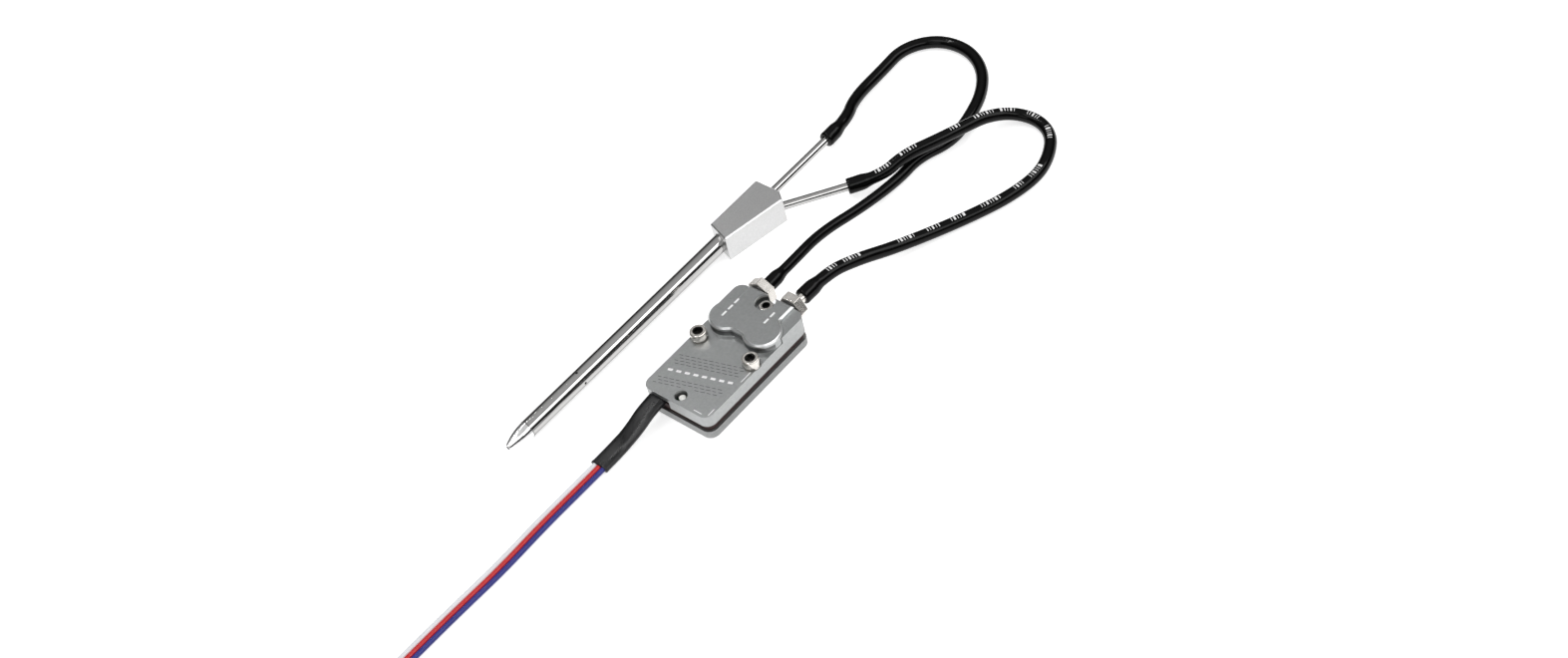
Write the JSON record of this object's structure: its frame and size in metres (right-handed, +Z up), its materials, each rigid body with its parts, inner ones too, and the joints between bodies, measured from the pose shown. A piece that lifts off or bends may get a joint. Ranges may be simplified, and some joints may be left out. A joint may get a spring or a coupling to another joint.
{
  "type": "pitot tube",
  "caption": "Pitot-static airspeed probe on a small junction block, joined by two hoses to a flat sensor case with a screwed lid and a three-core lead.",
  "frame": {"origin": "on the underside of the junction block, directly below the probe's axis; the floor is Z = 0", "axes": "the probe lies along X with its nose towards -X; +Y is away from the sensor case; +Z is up"},
  "size_m": [0.2433, 0.0703, 0.0103],
  "materials": {
    "stainless": "polished",
    "machined_alloy": "satin",
    "seal_rubber": "matte",
    "board": "satin",
    "chip_plastic": "matte",
    "cell_metal": "satin",
    "led_lens": "gloss",
    "socket_plastic": "satin",
    "screw_steel": "satin",
    "fitting_nickel": "nickel plated",
    "hose_rubber": "gloss",
    "sleeve_plastic": "satin",
    "lead_insulation": "satin",
    "tie_nylon": "satin",
    "plug_plastic": "satin",
    "contact_tin": "satin"
  },
  "bodies": {
    "root": {"nose_cone": "stainless", "outer_static_tube": "stainless", "inner_pressure_tube": "stainless", "junction_block": "machined_alloy", "static_outlet_tube": "stainless", "lower_case": "machined_alloy", "joint_seal": "seal_rubber", "upper_case": "machined_alloy", "circuit_board": "board", "microcontroller": "chip_plastic", "voltage_regulator": "chip_plastic", "dynamic_pressure_cell": "cell_metal", "static_pressure_cell": "cell_metal", "dynamic_cell_ring": "seal_rubber", "static_cell_ring": "seal_rubber", "status_led": "led_lens", "lead_socket": "socket_plastic", "case_screws": "screw_steel", "case_washers": "screw_steel", "centre_screw": "screw_steel", "dynamic_fitting": "fitting_nickel", "static_fitting": "fitting_nickel", "fitting_seals": "seal_rubber", "dynamic_hose": "hose_rubber", "static_hose": "hose_rubber", "cable_sleeve": "sleeve_plastic", "three_core_lead": "lead_insulation", "lead_coil": "lead_insulation", "coil_tie": "tie_nylon", "lead_plug": "plug_plastic", "plug_contacts": "contact_tin"}
  },
  "joints": []
}
